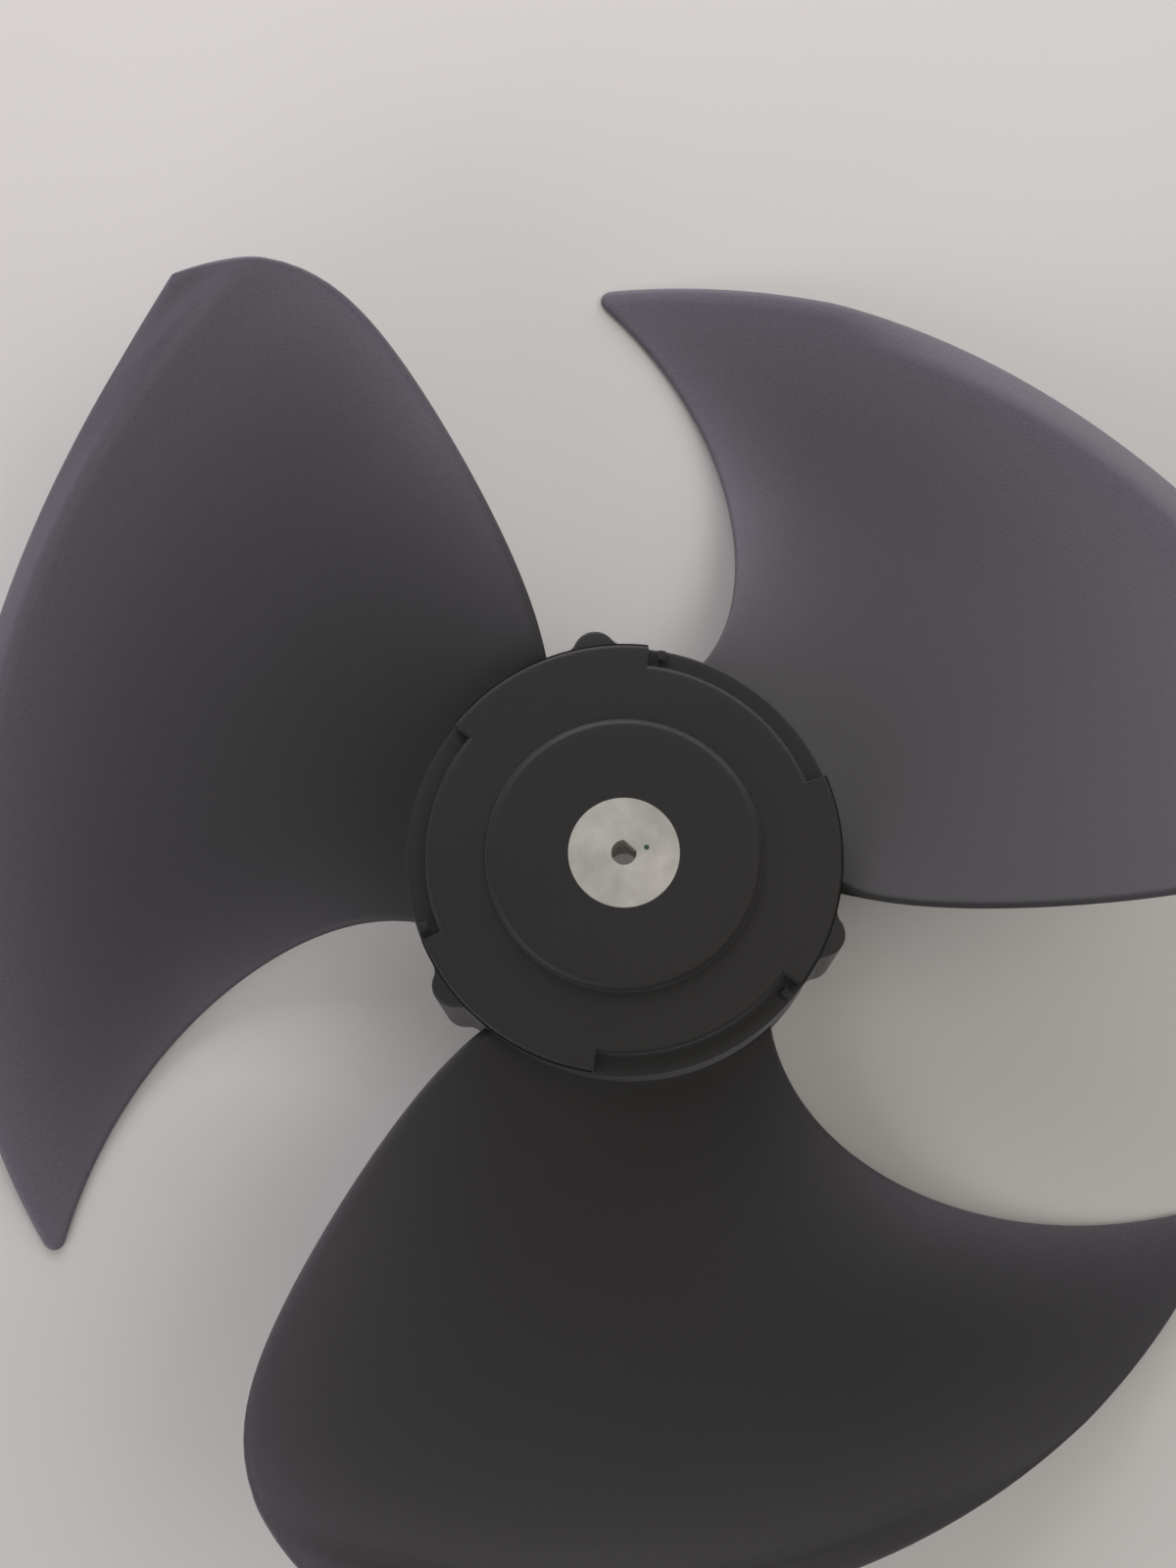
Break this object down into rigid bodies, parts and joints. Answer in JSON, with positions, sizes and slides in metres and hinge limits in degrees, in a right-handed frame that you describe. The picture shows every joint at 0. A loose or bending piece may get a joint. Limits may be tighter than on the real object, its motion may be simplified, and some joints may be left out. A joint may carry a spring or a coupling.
{
  "type": "air conditioner fan blade",
  "caption": "Axial fan wheel with broad swept blades and bent outer lips, moulded on a notched round hub, with a metal bush and a D-shaped shaft bore.",
  "frame": {"origin": "on the wheel's axis, in the front face of the metal bush", "axes": "+Z along the wheel's axis towards the outlet side, which carries the notched ring; +X and +Y lie in the plane of the bush's face, +X to the right in the picture"},
  "size_m": [0.4581, 0.4607, 0.1238],
  "materials": {
    "plastic": "satin",
    "bush_metal": "satin"
  },
  "bodies": {
    "root": {"propeller": "plastic", "shaft_bush": "bush_metal"}
  },
  "joints": []
}
